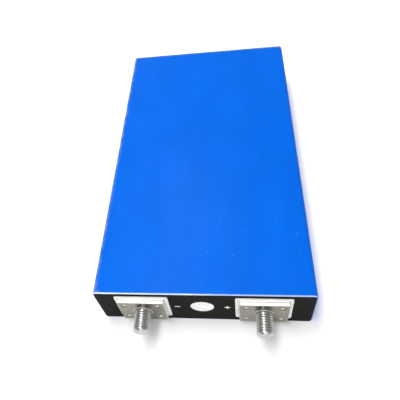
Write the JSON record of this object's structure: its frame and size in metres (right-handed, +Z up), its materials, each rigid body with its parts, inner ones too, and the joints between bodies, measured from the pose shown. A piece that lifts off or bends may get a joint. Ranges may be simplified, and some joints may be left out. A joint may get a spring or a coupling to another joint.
{
  "type": "prismatic battery cell",
  "caption": "Flat prismatic battery cell in a blue-wrapped can, with threaded studs on rectangular terminal plates and a round vent on its black lid face.",
  "frame": {"origin": "middle of the cell's footprint on the surface it lies on, midway between the stud tips and the base", "axes": "+Z up through the thickness, +Y along the length from the terminals to the base, +X across the width from the negative to the positive terminal"},
  "size_m": [0.13, 0.2472, 0.036],
  "materials": {
    "blue_film": "smooth semi-gloss wrap film",
    "black_sheet": "matt insulating sheet",
    "tray_plastic": "pale translucent moulded plastic",
    "liner_plastic": "moulded plastic",
    "bag_film": "thin clear film",
    "vent_film": "clear adhesive film",
    "tape_green": "adhesive tape",
    "seal_rubber": "moulded rubber",
    "separator": "porous separator film round the wound core",
    "aluminium": "drawn and pressed, satin",
    "stud_steel": "rolled thread, bright",
    "copper": "plain copper"
  },
  "bodies": {
    "root": {"blue_film_wrap": "blue_film", "base_film_patch": "blue_film", "can": "aluminium", "lid": "aluminium", "black_lid_sheet": "black_sheet", "vent_burst_disc": "aluminium", "vent_cover_film": "vent_film", "fill_port_bung": "seal_rubber", "fill_port_cap": "aluminium", "lid_inner_liner": "liner_plastic", "core_bag": "bag_film", "base_pad": "liner_plastic", "core_tape_front": "tape_green", "core_tape_rear": "tape_green", "wound_core_upper": "separator", "wound_core_lower": "separator", "negative_tray": "tray_plastic", "negative_pad": "aluminium", "negative_stud_plate": "aluminium", "negative_stud": "stud_steel", "negative_post": "copper", "negative_seal_ring": "seal_rubber", "negative_collector": "copper", "negative_tabs_upper": "copper", "negative_tabs_lower": "copper", "positive_tray": "tray_plastic", "positive_pad": "aluminium", "positive_stud_plate": "aluminium", "positive_stud": "stud_steel", "positive_post": "aluminium", "positive_seal_ring": "seal_rubber", "positive_collector": "aluminium", "positive_tabs_upper": "aluminium", "positive_tabs_lower": "aluminium"}
  },
  "joints": []
}
